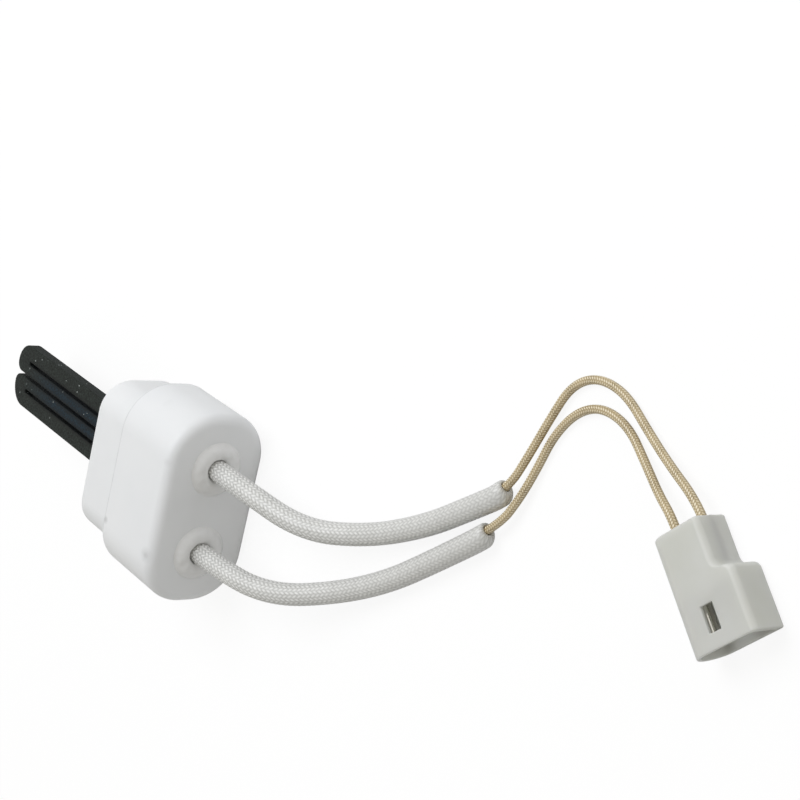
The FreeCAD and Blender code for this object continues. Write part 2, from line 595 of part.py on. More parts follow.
def build_cords(side):
    """Woven sleeve, braided lead and the two bared ends of its conductor."""
    exit_y = SIDES[side] * worth(EXIT_Y)
    barrel_y = SIDES[side] * worth(BARREL_Y)
    across = SIDES[side] * size("pin_pitch") / 2
    rear_x = worth(REAR_X)
    middle_z = worth(MIDDLE_Z)
    inner_end = (rear_x - size("potting_hold"), exit_y, middle_z)
    route = LEAD_ROUTES[side]
    points = [inner_end] + route + [in_plug_frame(-size("lead_align"), across),
                                    in_plug_frame(size("lead_in_plug"), across)]
    edges, radii = route_edges(points)
    print(f"lead_{side} radii:", " ".join(f"{r:.1f}" for r in radii))
    lead = tube(f"lead_{side}", edges, size("lead_outer"))

    run = SLEEVE_RUN[side]
    last = edges[2 * run]
    begin = last.valueAt(last.FirstParameter)
    whole = FreeCAD.Vector(*points[run + 1]) - FreeCAD.Vector(*points[run])
    end = FreeCAD.Vector(*points[run]) + whole * SLEEVE_SHARE[side]
    inside = FreeCAD.Vector(rear_x - size("sleeve_hold"), exit_y, middle_z)
    first = Part.LineSegment(inside, edges[0].valueAt(edges[0].LastParameter)).toShape()
    stretch = [first] + edges[1:2 * run] + [Part.LineSegment(begin, end).toShape()]
    sleeve = tube(f"sleeve_{side}", stretch, size("sleeve_outer"), size("sleeve_bore"))

    bared = [(worth(BARREL_X) + 2 * size("fit_play"), barrel_y, middle_z),
             (worth(SLANT_START), barrel_y, middle_z),
             (worth(SLANT_END), exit_y, middle_z), inner_end]
    bend, radii = route_edges(bared)
    print(f"strands_block_{side} radii:", " ".join(f"{r:.1f}" for r in radii))
    block_end = tube(f"strands_block_{side}", bend, size("conductor_outer"))

    lead_end = in_plug_frame(size("lead_in_plug"), across)
    crimp_end = in_plug_frame(size("crimp_start") + size("crimp_long") - size("cap_floor")
                              - size("fit_play"), across)
    straight = Part.LineSegment(FreeCAD.Vector(*lead_end), FreeCAD.Vector(*crimp_end)).toShape()
    plug_end = tube(f"strands_plug_{side}", [straight], size("conductor_outer"))
    return [lead, sleeve, block_end, plug_end]


pieces = [build_block(), build_element(), build_front_cement(), build_plug_housing()]
for side in SIDES:
    pieces += [build_collar(side), build_potting(side), build_end_cap(side),
               build_contact_pin(side)]
    pieces += build_cords(side)
doc.recompute()

for item in doc.Objects:
    if "Invalid" in item.State or "Error" in item.State:
        raise RuntimeError(f"{item.Name} failed: {item.State}")
for piece in pieces:
    if piece.Shape.isNull() or not piece.Shape.isValid() or len(piece.Shape.Solids) != 1:
        raise RuntimeError(f"{piece.Label} has no sound shape")

os.makedirs("parts", exist_ok=True)
for piece in pieces:
    piece.Shape.exportStep(f"parts/{piece.Label}.step")
print(len(pieces), "pieces written")
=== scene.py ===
# %% [markdown]
# # Hot surface igniter
# A white ceramic block holds a dark heating element at one end. Two woven sleeves
# leave its other end with a braided lead in each, and the leads end in a small
# plug. The fixed frame of plain solids is loaded first, and every piece below is
# laid over it in the same coordinates, in metres.

# %% Load the frame
import math

import bmesh
import bpy
from mathutils import Matrix, Vector, noise


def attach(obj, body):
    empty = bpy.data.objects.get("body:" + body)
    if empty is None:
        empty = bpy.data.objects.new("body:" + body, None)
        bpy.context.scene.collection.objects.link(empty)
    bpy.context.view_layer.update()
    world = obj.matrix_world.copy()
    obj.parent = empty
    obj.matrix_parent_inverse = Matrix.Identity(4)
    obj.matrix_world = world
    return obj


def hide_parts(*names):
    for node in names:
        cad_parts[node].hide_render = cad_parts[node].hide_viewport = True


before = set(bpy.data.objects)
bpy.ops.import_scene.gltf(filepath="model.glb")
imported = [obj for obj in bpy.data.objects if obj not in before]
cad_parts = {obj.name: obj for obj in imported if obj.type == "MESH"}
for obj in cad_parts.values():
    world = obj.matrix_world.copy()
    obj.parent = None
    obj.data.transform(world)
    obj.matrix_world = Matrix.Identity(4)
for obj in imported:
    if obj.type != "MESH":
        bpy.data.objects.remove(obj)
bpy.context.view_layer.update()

MM = 0.001
print("nodes:", len(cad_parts))

# %% [markdown]
# ## Camera
# The object lies on its far broad side and is seen from above its plug end, with
# the camera rolled on its side, so that the long axis of the block runs up the
# picture. A camera can be aimed with angles or with a target, but neither holds a
# roll simply, so three unit vectors say it: the picture's right, its up, and back.

# %% Camera
EYE = Vector((376.9, 147.7, 248.1)) * MM
PICTURE_RIGHT = Vector((0.5906, 0.2287, -0.7738)).normalized()
BACK = PICTURE_RIGHT.cross(Vector((-0.3492, 0.937, 0.0104))).normalized()
PICTURE_UP = BACK.cross(PICTURE_RIGHT)
camera = bpy.data.objects.new("camera", bpy.data.cameras.new("camera"))
camera.data.sensor_width = 36
camera.data.lens = 81
camera.data.clip_start = 0.01
turn = Matrix((PICTURE_RIGHT, PICTURE_UP, BACK)).transposed()
camera.matrix_world = Matrix.Translation(EYE) @ turn.to_4x4()
bpy.context.collection.objects.link(camera)
bpy.context.scene.camera = camera
bpy.context.scene.view_settings.view_transform = "Standard"
print("camera looks along", [round(x, 3) for x in -BACK])

# %% [markdown]
# ## Routes of the leads
# Each lead is one smooth line from inside the block to inside the plug. It could be
# a Bezier curve, but that needs handles. A NURBS spline of order three follows a
# few listed points in millimetres without kinks, and its evaluated line is
# divided into even steps, so that a weave keeps one scale.

# %% Routes
UPPER_ROUTE = [
    (36.7, 10.65, 13.25), (62.0, 10.65, 13.25), (80.5, 8.6, 8.8), (97.0, 14.3, 4.3),
    (112.5, 23.3, 2.75), (125.5, 33.4, 2.75), (134.0, 40.2, 2.75), (136.7, 48.9, 2.0),
    (138.4, 57.6, 1.3), (141.3, 65.6, 1.0), (147.4, 69.6, 1.0), (155.4, 69.3, 1.0),
    (163.6, 64.8, 1.4), (171.6, 61.5, 2.7), (181.69, 58.1, 4.2), (185.35, 54.69, 4.2),
]
LOWER_ROUTE = [
    (36.7, -10.65, 13.25), (61.0, -10.65, 13.25), (77.0, -9.0, 10.2), (92.0, -1.7, 5.2),
    (105.5, 7.2, 2.8), (119.0, 18.7, 2.75), (134.2, 32.2, 2.75), (137.1, 39.6, 1.8),
    (138.5, 47.3, 1.2), (140.3, 54.8, 1.0), (144.7, 61.5, 1.0), (150.9, 64.7, 1.0),
    (158.4, 63.7, 1.0), (165.6, 59.0, 1.8), (171.8, 55.4, 3.1), (177.12, 53.2, 4.2),
    (180.78, 49.79, 4.2),
]


def smooth_line(route):
    """The points of a NURBS spline through a route, in metres."""
    curve = bpy.data.curves.new("route", "CURVE")
    curve.dimensions = "3D"
    curve.resolution_u = 40
    spline = curve.splines.new("NURBS")
    spline.points.add(len(route) - 1)
    for point, place in zip(spline.points, route):
        point.co = (*(Vector(place) * MM), 1)
    spline.order_u = 3
    spline.use_endpoint_u = True
    holder = bpy.data.objects.new("route", curve)
    mesh = bpy.data.meshes.new_from_object(holder)
    line = [v.co.copy() for v in mesh.vertices]
    bpy.data.meshes.remove(mesh)
    bpy.data.curves.remove(curve)
    return line


def running_lengths(line):
    """How far along a line each of its points lies."""
    lengths = [0.0]
    for a, b in zip(line, line[1:]):
        lengths.append(lengths[-1] + (b - a).length)
    return lengths


def even_steps(line, count):
    """The same line in steps of equal length."""
    lengths = running_lengths(line)
    stops, k = [], 0
    for n in range(count + 1):
        along = lengths[-1] * n / count
        while k < len(line) - 2 and lengths[k + 1] < along:
            k += 1
        share = (along - lengths[k]) / (lengths[k + 1] - lengths[k])
        stops.append(line[k].lerp(line[k + 1], share))
    return stops


ROUTES = {"upper": UPPER_ROUTE, "lower": LOWER_ROUTE}
lines = {side: smooth_line(route) for side, route in ROUTES.items()}
for side, line in lines.items():
    print(side, "route", round(running_lengths(line)[-1] / MM, 1), "mm")

# %% [markdown]
# ## Small helpers
# Colours are written as sRGB hex and turned to linear light once. One function
# adds a shader node with its settings and links, so that a material reads as a
# short list.

# %% Helpers for colours and nodes
def colour(code):
    """Linear colour of an sRGB hex code."""
    parts = [int(code[k:k + 2], 16) / 255 for k in (1, 3, 5)]
    linear = [x / 12.92 if x <= 0.04045 else ((x + 0.055) / 1.055) ** 2.4 for x in parts]
    return (*linear, 1)


def add(tree, kind, **inputs):
    """Add a node. Inputs are settings, plain values or another node's output.

    An input is named as in the editor, or i and its number where names repeat.
    """
    node = tree.nodes.new(kind)
    for name, value in inputs.items():
        if hasattr(node, name) and name not in node.inputs:
            setattr(node, name, value)
            continue
        by_number = name[1:].isdigit()
        socket = node.inputs[int(name[1:]) if by_number else name.replace("_", " ")]
        if isinstance(value, bpy.types.NodeSocket):
            tree.links.new(value, socket)
        else:
            socket.default_value = value
    return node


def new_material(name):
    """A material with only its output and an empty Principled shader."""
    material = bpy.data.materials.new(name)
    material.use_nodes = True
    tree = material.node_tree
    return material, tree, tree.nodes["Principled BSDF"]

# %% [markdown]
# A finished piece is shaded smooth, with only its sharp edges left crisp. It gets
# one material, rides on the part and takes the place of a plain solid.

# %% Finished pieces
def keep_mesh(bm, name, material, node, sharp):
    """Turn a bmesh into a finished piece that rides on the part."""
    mesh = bpy.data.meshes.new(name)
    bm.to_mesh(mesh)
    bm.free()
    return keep_piece(mesh, name, material, node, sharp)


def keep_piece(mesh, name, material, node, sharp):
    """Shade a mesh, give it its material and tie it to the part.

    Edges sharper than that many degrees stay crisp.
    """
    mesh.shade_smooth()
    mesh.set_sharp_from_angle(angle=math.radians(sharp))
    mesh.materials.clear()
    mesh.materials.append(material)
    piece = bpy.data.objects.new(name, mesh)
    bpy.context.collection.objects.link(piece)
    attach(piece, "root")
    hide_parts(node)
    print(name, len(mesh.polygons), "faces")
    return piece


# %% [markdown]
# ## Woven cloth rolled into a tube
# A braid is a flat cloth of two families of slanting yarns, rolled up. Separate
# yarns would take millions of faces, and a bump alone leaves the outline smooth. So
# a fine grid is bent round the line, and each point is lifted where a yarn passes
# over. The height is kept as an attribute, and the material tells yarn from gap.

# %% Roll a braid
WORN_HEIGHT = 0.6
TURN_SHARE = 0.8


def braid_height(along, around, carriers, pitch):
    """Height from 0 in a gap to 1 on a yarn, of a braid that runs two over, two under."""
    left = along / pitch + carriers * around
    right = along / pitch - carriers * around
    i, j = math.floor(left), math.floor(right)
    if (i - j) % 4 < 2:
        across, float_share = left - i, ((right - i + 1) % 4) / 2
    else:
        across, float_share = right - j, ((left - j - 2) % 4) / 2
    crown = max(0.0, math.sin(math.pi * across)) ** 0.6
    return crown * (0.3 + 0.7 * math.sin(math.pi * min(1.0, float_share)))


def roll_braid(line, radius, carriers, pitch, relief, steps, sides,
               mouth=None, shift=Vector(), fade=0.0):
    """A bmesh tube with a real braid on it, and the centres of its rings.

    A mouth turns the far end in to that radius, shifted to one side, over a share of
    the radius. Fade is how much of the relief is worn down towards that end.
    """
    centres = even_steps(line, steps)
    length = running_lengths(line)[-1]
    frames = []
    normal = Vector((0, 0, 1))
    for k in range(steps + 1):
        heading = (centres[min(k + 1, steps)] - centres[max(k - 1, 0)]).normalized()
        normal = (normal - heading * normal.dot(heading)).normalized()
        frames.append((normal.copy(), heading.cross(normal)))
    bm = bmesh.new()
    cloth = bm.loops.layers.uv.new("weave")
    bmesh.ops.create_grid(bm, x_segments=steps, y_segments=sides, size=0.5, calc_uvs=True)
    height_layer = bm.verts.layers.float.new("height")
    for face in bm.faces:
        for corner in face.loops:
            corner[cloth].uv.x *= length / MM
    for vert in bm.verts:
        k = round((vert.co.x + 0.5) * steps)
        around = vert.co.y + 0.5
        height = braid_height(length * k / steps, around, carriers, pitch)
        height += (WORN_HEIGHT - height) * fade * k / steps
        vert[height_layer] = height
        reach = radius - relief * (1 - height)
        to_end = length * (steps - k) / steps
        turned_in = max(0.0, 1 - to_end / (TURN_SHARE * radius)) if mouth else 0.0
        if turned_in:
            reach = mouth + (reach - mouth) * math.sqrt(max(0.0, 1 - turned_in ** 2))
        side, other = frames[k]
        angle = 2 * math.pi * around
        vert.co = centres[k] + (side * math.cos(angle) + other * math.sin(angle)) * reach
        vert.co += shift * turned_in ** 2
    bmesh.ops.remove_doubles(bm, verts=bm.verts, dist=0.00001)
    bmesh.ops.recalc_face_normals(bm, faces=bm.faces)
    return bm, centres


# %% [markdown]
# ## Glass yarn, white and varnished
# The sleeves are braided from bright untreated glass yarn, white and smooth. The
# small glints along each float are a painted highlight and the grey gaps are painted
# shade. The leads wear the same braid under a tan varnish; there too the gaps get
# painted shade and the crowns a painted golden highlight. One colour ramp over the
# braid's height paints all that, and a noise that is stretched along the tube gives
# the fine filaments.

# %% Yarn materials
def yarn_material(name, gap, yarn, crown, roughness, filament_mm):
    """Glass yarn: painted shade in the gaps, a painted highlight on the crowns, with fine filaments.
    """
    material, tree, shader = new_material(name)
    height = add(tree, "ShaderNodeAttribute", attribute_name="height")
    # The ramp paints shade into the gaps and a highlight on the crowns; only its middle colour is the
    # yarn's own.
    ramp = add(tree, "ShaderNodeValToRGB", Fac=height.outputs["Fac"])
    ramp.color_ramp.elements[0].color = colour(gap)
    ramp.color_ramp.elements[0].position = 0.12
    ramp.color_ramp.elements[1].color = colour(crown)
    ramp.color_ramp.elements[1].position = 0.95
    ramp.color_ramp.elements.new(0.6).color = colour(yarn)
    cloth = add(tree, "ShaderNodeUVMap", uv_map="weave")
    stretched = add(tree, "ShaderNodeMapping", Vector=cloth.outputs[0],
                    Scale=(1.2, 1 / filament_mm * 6, 1))
    filaments = add(tree, "ShaderNodeTexNoise", Vector=stretched.outputs[0], Scale=3.0, Detail=2.0)
    patches = add(tree, "ShaderNodeTexNoise", Vector=cloth.outputs[0], Scale=0.35, Detail=1.0)
    shade = add(tree, "ShaderNodeMapRange", Value=patches.outputs["Fac"], To_Min=0.9, To_Max=1.06)
    toned = add(tree, "ShaderNodeVectorMath", operation="SCALE", i0=ramp.outputs[0],
                Scale=shade.outputs[0])
    tree.links.new(toned.outputs[0], shader.inputs["Base Color"])
    bump = add(tree, "ShaderNodeBump", Height=filaments.outputs["Fac"], Strength=0.25,
               Distance=0.00004)
    tree.links.new(bump.outputs[0], shader.inputs["Normal"])
    shader.inputs["Roughness"].default_value = roughness
    shader.inputs["IOR"].default_value = 1.55
    return material


# Each gap colour is painted shade and each crown colour a painted highlight.
sleeve_yarn = yarn_material("braided glass sleeve", gap="#B0B0AD", yarn="#E0E0DD",
                            crown="#FFFFFD", roughness=0.32, filament_mm=0.05)
lead_yarn = yarn_material("varnished glass braid", gap="#7A6A4C", yarn="#D8C49A",
                          crown="#FFF5DC", roughness=0.3, filament_mm=0.04)
print("yarns:", sleeve_yarn.name, "and", lead_yarn.name)

# %% [markdown]
# ## Sleeves and leads
# A sleeve is 5.2 mm thick with a thin wall, so a Solidify modifier gives its one
# layer of cloth a thickness. Its cut end turns in round the lead, which is 1.8 mm
# thick. A yarn's step along the tube is 1.35 mm on a sleeve and 0.62 mm on a lead,
# as counted in the picture.

# %% Sleeves
REAR, APART, MIDDLE = 49.2, 10.65, 13.25
LEAD_BORE = {"upper": (REAR, APART, MIDDLE), "lower": (REAR, -APART, MIDDLE)}
SLEEVE_START_X = 39.2 * MM
SLEEVE_ENDS = {"upper": Vector((133.5, 40.3, 2.7)) * MM, "lower": Vector((131.6, 29.9, 2.75)) * MM}
SLEEVE_WALL = 0.7 * MM
TO_ONE_SIDE = Vector((-0.62, 0.78, 0.1)).normalized() * 0.7 * MM
SLEEVE_WEAVE = {"radius": 2.62 * MM, "carriers": 20, "pitch": 1.35 * MM, "relief": 0.16 * MM,
                "steps": 420, "sides": 100, "mouth": 1.2 * MM, "shift": TO_ONE_SIDE, "fade": 0.5}
CLOTH_CREASE = 80

for side, line in lines.items():
    last = min(range(len(line)), key=lambda k: (line[k] - SLEEVE_ENDS[side]).length)
    stretch = [p for p in line[:last + 1] if p.x >= SLEEVE_START_X]
    bm, centres = roll_braid(stretch, **SLEEVE_WEAVE)
    sleeve = keep_mesh(bm, f"woven_sleeve_{side}", sleeve_yarn, f"sleeve_{side}",
                       CLOTH_CREASE)
    wall = sleeve.modifiers.new("wall", "SOLIDIFY")
    wall.thickness = SLEEVE_WALL
    wall.offset = -1
    length = running_lengths(stretch)[-1]
    print("sleeve", side, round(length / MM, 1), "mm")

# %% [markdown]
# Each lead leans on one side of its sleeve's mouth, as a stiff lead does where it
# turns away, so three of its points near the mouth are moved that way.

# %% Leads
LEAD_WEAVE = {"radius": 0.92 * MM, "carriers": 8, "pitch": 0.62 * MM, "relief": 0.09 * MM,
              "steps": 1200, "sides": 32}
LEANING_POINTS = (5, 6, 7)

leads = {}
for side, route in ROUTES.items():
    leaning = [tuple(Vector(p) + TO_ONE_SIDE / MM) if k in LEANING_POINTS else p
               for k, p in enumerate(route)]
    line = smooth_line(leaning)
    bm, centres = roll_braid(line, **LEAD_WEAVE)
    lead = keep_mesh(bm, f"braided_lead_{side}", lead_yarn, f"lead_{side}",
                     CLOTH_CREASE)
    leads[side] = (lead, round(running_lengths(line)[-1], 4), centres)

# %% [markdown]
# ## Steatite
# Dry-pressed steatite is white and satin. Handling leaves a few grey scuffs on it,
# and a thin grey line of painted shade runs round the shoulder where the body meets
# the step. A scuff is a ball of grey, broken up by a noise, so each needs only a
# place and a radius in millimetres and a depth.

# %% Steatite
SCUFFS = [((46.9, -11.6, 26.3), 2.2, 0.7), ((27.2, -11.2, 26.4), 1.2, 1.1),
          ((47.2, 12.0, 25.2), 1.6, 0.5), ((35.0, 20.5, 20.0), 2.4, 0.5),
          ((30.0, -22.5, 9.0), 2.0, 0.6)]
SHADE_LINE_X, SHADE_LINE_WIDE = 0.0264, 0.0006


def steatite_material():
    """Dry-pressed steatite: white, satin, with faint clouds, a few scuffs and a painted shade line at
    the shoulder.
    """
    material, tree, shader = new_material("pressed steatite")
    place = add(tree, "ShaderNodeTexCoord")
    clouds = add(tree, "ShaderNodeTexNoise", Vector=place.outputs["Object"], Scale=60.0, Detail=3.0)
    grain = add(tree, "ShaderNodeTexNoise", Vector=place.outputs["Object"], Scale=2600.0, Detail=2.0)
    base = add(tree, "ShaderNodeMix", data_type="RGBA", i0=clouds.outputs["Fac"],
               i6=colour("#F1F3F5"), i7=colour("#FAFBFC"))
    # This noise breaks up both the scuffs and the painted shade line.
    scuff_and_shade_noise = add(tree, "ShaderNodeTexNoise", Vector=place.outputs["Object"], Scale=700.0, Detail=3.0)
    worn = base.outputs[2]
    for centre, radius, depth in SCUFFS:
        away = add(tree, "ShaderNodeVectorMath", operation="DISTANCE", i0=place.outputs["Object"],
                   i1=Vector(centre) * MM)
        near = add(tree, "ShaderNodeMapRange", Value=away.outputs["Value"], From_Min=0.0,
                   From_Max=radius * MM, To_Min=depth, To_Max=0.0)
        mask = add(tree, "ShaderNodeMath", operation="MULTIPLY", i0=near.outputs[0],
                   i1=scuff_and_shade_noise.outputs["Fac"])
        worn = add(tree, "ShaderNodeMix", data_type="RGBA", i0=mask.outputs[0], i6=worn,
                   i7=colour("#A9A9A8")).outputs[2]
    # Painted shade: a thin grey line round the shoulder, where the body's edge meets the step.
    parts = add(tree, "ShaderNodeSeparateXYZ", Vector=place.outputs["Object"])
    from_shade_line = add(tree, "ShaderNodeMath", operation="SUBTRACT", i0=parts.outputs["X"], i1=SHADE_LINE_X)
    off_shade_line = add(tree, "ShaderNodeMath", operation="ABSOLUTE", i0=from_shade_line.outputs[0])
    painted_corner_shade = add(tree, "ShaderNodeMapRange", Value=off_shade_line.outputs[0], From_Min=0.0,
                 From_Max=SHADE_LINE_WIDE, To_Min=0.55, To_Max=0.0)
    corner_shade_mask = add(tree, "ShaderNodeMath", operation="MULTIPLY", i0=painted_corner_shade.outputs[0],
                   i1=scuff_and_shade_noise.outputs["Fac"])
    corner_shade_tone = add(tree, "ShaderNodeMix", data_type="RGBA", i0=corner_shade_mask.outputs[0], i6=worn,
                   i7=colour("#9C9D9E"))
    tree.links.new(corner_shade_tone.outputs[2], shader.inputs["Base Color"])
    bump = add(tree, "ShaderNodeBump", Height=grain.outputs["Fac"], Strength=0.12, Distance=0.00003)
    tree.links.new(bump.outputs[0], shader.inputs["Normal"])
    shader.inputs["Roughness"].default_value = 0.48
    shader.inputs["Subsurface Weight"].default_value = 0.15
    shader.inputs["Subsurface Radius"].default_value = (1, 1, 1)
    shader.inputs["Subsurface Scale"].default_value = 0.001
    return material


steatite = steatite_material()
print("scuffs:", len(SCUFFS))

# %% [markdown]
# ## Outlines and cutters
# A moulded or pressed body is an outline that is drawn out along one axis. A grid of
# one face whose corners are bevelled makes a rounded outline, and extruding that
# face makes the body. What is hollow is taken away with Boolean cutters, because a
# press tool and a mould leave just such clean pockets.

# %% Outlines
REAR_X, SHOULDER_X, FRONT_X = REAR * MM, 26.2 * MM, 11.2 * MM
MIDDLE_Z = MIDDLE * MM
BODY_HALF, BODY_ROUND = (24.0, 13.25), 11.8
STEP_HALF, STEP_ROUND = (19.6, 11.75), 8.0
CORNER_SEGMENTS = 18


def at_plane(items, x):
    """The faces or edges whose every corner lies in the plane X = x."""
    return [i for i in items if all(abs(v.co.x - x) < 1e-6 for v in i.verts)]


def to_step(place):
    """Move a point of the body's rounded outline to the step's smaller one."""
    moved = [place.x]
    for value, middle, body, step in zip((place.y, place.z), (0, MIDDLE_Z), BODY_HALF, STEP_HALF):
        side = math.copysign(1, value - middle)
        out = (value - middle) / MM - side * (body - BODY_ROUND)
        moved.append(middle + (side * (step - STEP_ROUND) + out * STEP_ROUND / BODY_ROUND) * MM)
    return Vector(moved)


def outline_face(bm, x, ends, half_tall, middle):
    """A face across X, with a place and a corner radius in mm for each of its two ends."""
    bmesh.ops.create_grid(bm, x_segments=1, y_segments=1, size=1)
    groups = [[v for v in bm.verts if v.co.x * sign > 0] for sign in (-1, 1)]
    for (reach, _), corners in zip(ends, groups):
        for vert in corners:
            vert.co = (x, reach * MM, middle + vert.co.y * half_tall * MM)
    for (_, radius), corners in zip(ends, groups):
        bmesh.ops.bevel(bm, geom=corners, offset=radius * MM, offset_type="OFFSET",
                        segments=CORNER_SEGMENTS, profile=0.5, affect="VERTICES", material=-1)
    return bm.faces[:][0]


def extrude_to(bm, face, x):
    """Extrude a face along X to the plane X = x and return the new face.

    The old face stays only where it closes the start of a body.
    """
    made = bmesh.ops.extrude_face_region(bm, geom=[face])["geom"]
    for vert in (v for v in made if isinstance(v, bmesh.types.BMVert)):
        vert.co.x = x
    if any(len(edge.link_faces) > 2 for edge in face.edges):
        bmesh.ops.delete(bm, geom=[face], context="FACES_ONLY")
    return next(f for f in made if isinstance(f, bmesh.types.BMFace))


# %% Cutters
def loose_object(name, bm):
    """An object that only cuts or is cut, and is removed afterwards."""
    mesh = bpy.data.meshes.new(name)
    bm.to_mesh(mesh)
    bm.free()
    tool = bpy.data.objects.new(name, mesh)
    bpy.context.collection.objects.link(tool)
    return tool


def cut_away(raw, tools):
    """The mesh of a rough piece with some cutters taken away from it."""
    for tool in tools:
        cut = raw.modifiers.new("cut", "BOOLEAN")
        cut.object = tool
        cut.solver = "EXACT"
    bpy.context.view_layer.update()
    depsgraph = bpy.context.evaluated_depsgraph_get()
    finished = bpy.data.meshes.new_from_object(raw.evaluated_get(depsgraph))
    for leftover in tools + [raw]:
        bpy.data.objects.remove(leftover)
    return finished


def round_cutter(name, place, radius, long):
    """A cylinder along X about a point, all in mm."""
    bm = bmesh.new()
    bmesh.ops.create_cone(bm, segments=48, radius1=radius * MM, radius2=radius * MM,
                          depth=long * MM, cap_ends=True)
    bmesh.ops.rotate(bm, verts=bm.verts, matrix=Matrix.Rotation(math.pi / 2, 3, "Y"))
    bmesh.ops.translate(bm, verts=bm.verts, vec=Vector(place) * MM)
    return loose_object(name, bm)


def box_cutter(name, place, sides):
    """A box about a point, all in mm."""
    bm = bmesh.new()
    bmesh.ops.create_cube(bm, size=1)
    bmesh.ops.scale(bm, verts=bm.verts, vec=Vector(sides) * MM)
    bmesh.ops.translate(bm, verts=bm.verts, vec=Vector(place) * MM)
    return loose_object(name, bm)


print("block from", round(FRONT_X / MM, 1), "to", round(REAR_X / MM, 1), "mm along X")

# %% [markdown]
# ## Ceramic block
# The block has a wide body and a smaller step in front. Two blocks could be joined,
# but one skin keeps the shoulder clean. The rear outline is extruded into the body,
# extruded again on the spot, drawn in to the step's outline as the shoulder, and
# extruded into the step. The edges are bevelled before the slot and bores are cut.

# %% Ceramic block
def build_block():
    """The block with its rounded edges, slot and bores."""
    bm = bmesh.new()
    ends = [(-BODY_HALF[0], BODY_ROUND), (BODY_HALF[0], BODY_ROUND)]
    rear = outline_face(bm, REAR_X, ends, BODY_HALF[1], MIDDLE_Z)
    shoulder = extrude_to(bm, rear, SHOULDER_X)
    body_rim = at_plane(bm.edges, SHOULDER_X)
    ring = extrude_to(bm, shoulder, SHOULDER_X)
    step_rim = list(ring.edges)
    for vert in ring.verts:
        vert.co = to_step(vert.co)
    extrude_to(bm, ring, FRONT_X)
    bmesh.ops.recalc_face_normals(bm, faces=bm.faces)
    rear_edge, front_edge = at_plane(bm.edges, REAR_X), at_plane(bm.edges, FRONT_X)
    for edges, radius, segments in ((rear_edge, 2.7, 8), (front_edge, 1.3, 5),
                                    (body_rim, 0.35, 3), (step_rim, 0.25, 2)):
        bmesh.ops.bevel(bm, geom=[e for e in edges if e.is_valid], offset=radius * MM,
                        offset_type="OFFSET", segments=segments, profile=0.5, affect="EDGES",
                        material=-1, clamp_overlap=True)
    bmesh.ops.recalc_face_normals(bm, faces=bm.faces)
    print("block volume", round(bm.calc_volume() / MM ** 3), "cubic mm before the cuts")
    raw = loose_object("block_raw", bm)
    tools = [round_cutter("bore", (40.6, y, MIDDLE), 2.9, 20) for y in (-APART, APART)]
    tools.append(box_cutter("slot", (20.6, 0, MIDDLE), (20, 18.8, 4.8)))
    finished = cut_away(raw, tools)
    return keep_piece(finished, "steatite_block", steatite, "ceramic_block", 30)


build_block()

# %% [markdown]
# ## Collars
# Around each sleeve a ring of cement is smoothed into a low dome. A torus has no flat
# foot, so a half section with a soft crown is spun round the axis of the bore, with
# the distance from the axis and the rise in millimetres. A little noise makes its
# crown uneven, as a finger does.

# %% Smoothed cement
def cement_material(name, light, dark, roughness, grain_mm):
    """Fired cement: nearly the block's white, with a finger-smoothed surface."""
    material, tree, shader = new_material(name)
    place = add(tree, "ShaderNodeTexCoord")
    lumps = add(tree, "ShaderNodeTexNoise", Vector=place.outputs["Object"], Scale=1 / (grain_mm * MM),
                Detail=3.0)
    base = add(tree, "ShaderNodeMix", data_type="RGBA", i0=lumps.outputs["Fac"], i6=colour(dark),
               i7=colour(light))
    tree.links.new(base.outputs[2], shader.inputs["Base Color"])
    bump = add(tree, "ShaderNodeBump", Height=lumps.outputs["Fac"], Strength=0.3,
               Distance=0.0001)
    tree.links.new(bump.outputs[0], shader.inputs["Normal"])
    shader.inputs["Roughness"].default_value = roughness
    return material


smoothed_cement = cement_material("smoothed cement", light="#FAFAFA", dark="#EDEDEC",
                                  roughness=0.25, grain_mm=1.6)
rough_cement = cement_material("rough cement", light="#E6E3DC", dark="#CFCBC1",
                               roughness=0.8, grain_mm=0.7)

# %% Collars
COLLAR_SECTION = [(2.66, -0.3), (2.66, 0.5), (2.8, 0.85), (3.2, 1.2), (3.8, 1.42), (4.5, 1.4),
                  (5.2, 1.18), (5.75, 0.86), (6.15, 0.46), (6.45, 0.14), (6.8, 0.0), (6.9, -0.3)]
LUMP_WIDE, LUMP_HIGH, CROWN_FROM = 1.8 * MM, 0.3 * MM, 0.2 * MM

for side, (_, bore_y, _) in LEAD_BORE.items():
    bm = bmesh.new()
    axis = Vector((REAR_X, bore_y * MM, MIDDLE_Z))
    section = [bm.verts.new(axis + Vector((rise, out, 0)) * MM) for out, rise in COLLAR_SECTION]
    edges = [bm.edges.new(pair) for pair in zip(section, section[1:] + section[:1])]
    bmesh.ops.spin(bm, geom=section + edges, cent=axis, axis=(1, 0, 0), angle=2 * math.pi, steps=72,
                   use_merge=True)
    bmesh.ops.remove_doubles(bm, verts=bm.verts, dist=1e-6)
    bmesh.ops.recalc_face_normals(bm, faces=bm.faces)
    for vert in bm.verts:
        if (vert.co - axis).x > CROWN_FROM:
            vert.co += Vector((1, 0, 0)) * noise.noise(vert.co / LUMP_WIDE) * LUMP_HIGH
    keep_mesh(bm, f"cement_collar_{side}", smoothed_cement, f"collar_{side}", 60)

# %% [markdown]
# ## Silicon carbide element
# The heating element is one slab of recrystallised silicon carbide: charcoal grey and
# gritty, with bluish inner legs. Tiny glints on its crystals are painted highlights,
# and the darker edges along its slots are painted shade. The legs are told apart by
# how far they lie from the middle of the slab, which needs no second material.

# %% Silicon carbide
SLOT_Y = 0.0039
BLUE_TO, GREY_FROM = 0.0038, 0.0046


